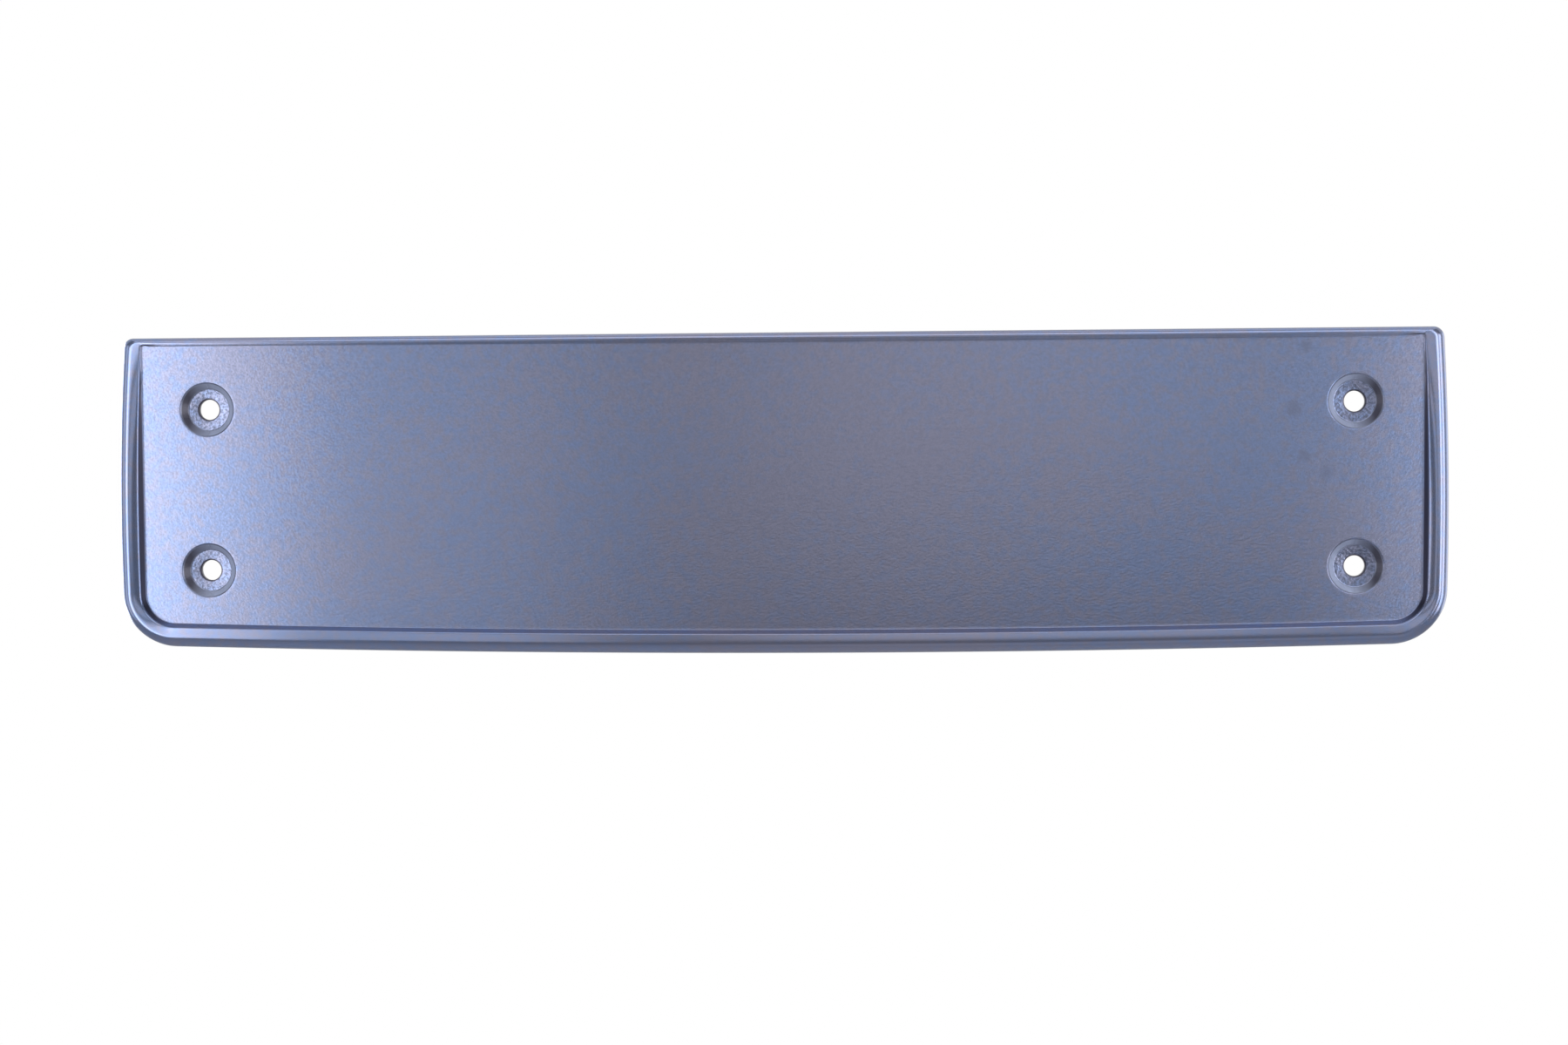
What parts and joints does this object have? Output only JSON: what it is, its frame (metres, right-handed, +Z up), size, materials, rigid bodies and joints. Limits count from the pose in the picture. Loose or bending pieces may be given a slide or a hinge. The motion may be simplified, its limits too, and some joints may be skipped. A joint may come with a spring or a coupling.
{
  "type": "number plate holder",
  "caption": "Long one-piece moulded plate holder for a car bumper: flat recessed face, raised bead on three sides, thin top lip, countersunk screw wells near the ends.",
  "frame": {"origin": "centre of the four screw holes, in the plane of the boss ends that rest on the bumper", "axes": "+X to the right seen from the front, +Z up, the front with the plate recess faces -Y, and +Y points at the bumper"},
  "size_m": [0.5432, 0.0183, 0.1316],
  "materials": {
    "moulding": "satin"
  },
  "bodies": {
    "root": {"plate_holder": "moulding"}
  },
  "joints": []
}
